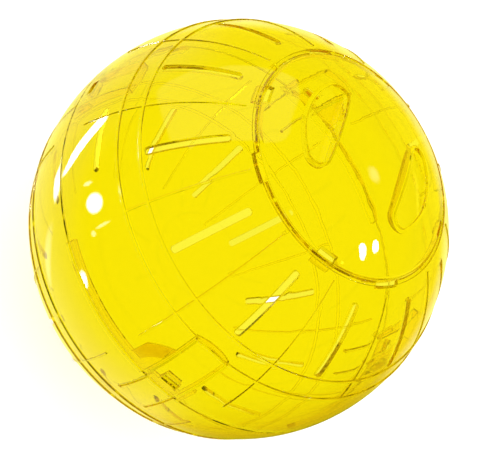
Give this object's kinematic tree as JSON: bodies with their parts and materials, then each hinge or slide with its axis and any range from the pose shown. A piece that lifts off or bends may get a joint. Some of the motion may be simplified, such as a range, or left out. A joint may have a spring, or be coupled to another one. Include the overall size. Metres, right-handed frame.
{
  "type": "small pet exercise ball",
  "caption": "Clear exercise ball for a small pet: snap-together half shells with ribs and ventilation slots, and a flush round twist-lock door with finger pockets.",
  "frame": {"origin": "centre of the ball", "axes": "+Z out through the middle of the door, +X through the middle of a snap latch, right-handed"},
  "size_m": [0.18, 0.18, 0.18],
  "materials": {
    "shell_plastic": "clear lemon-yellow plastic, polished, slightly amber where it is seen edge on",
    "door_plastic": "clear lemon-yellow plastic, polished, slightly amber where it is seen edge on"
  },
  "bodies": {
    "ball": {"door_shell": "shell_plastic", "rear_shell": "shell_plastic"},
    "door": {"door": "door_plastic"}
  },
  "joints": [
    {"name": "door_turn", "type": "hinge", "parent": "ball", "child": "door", "pos_m": [0, 0, 0], "axis": [0, 0, 1], "range_deg": [-15, 38.5]}
  ]
}
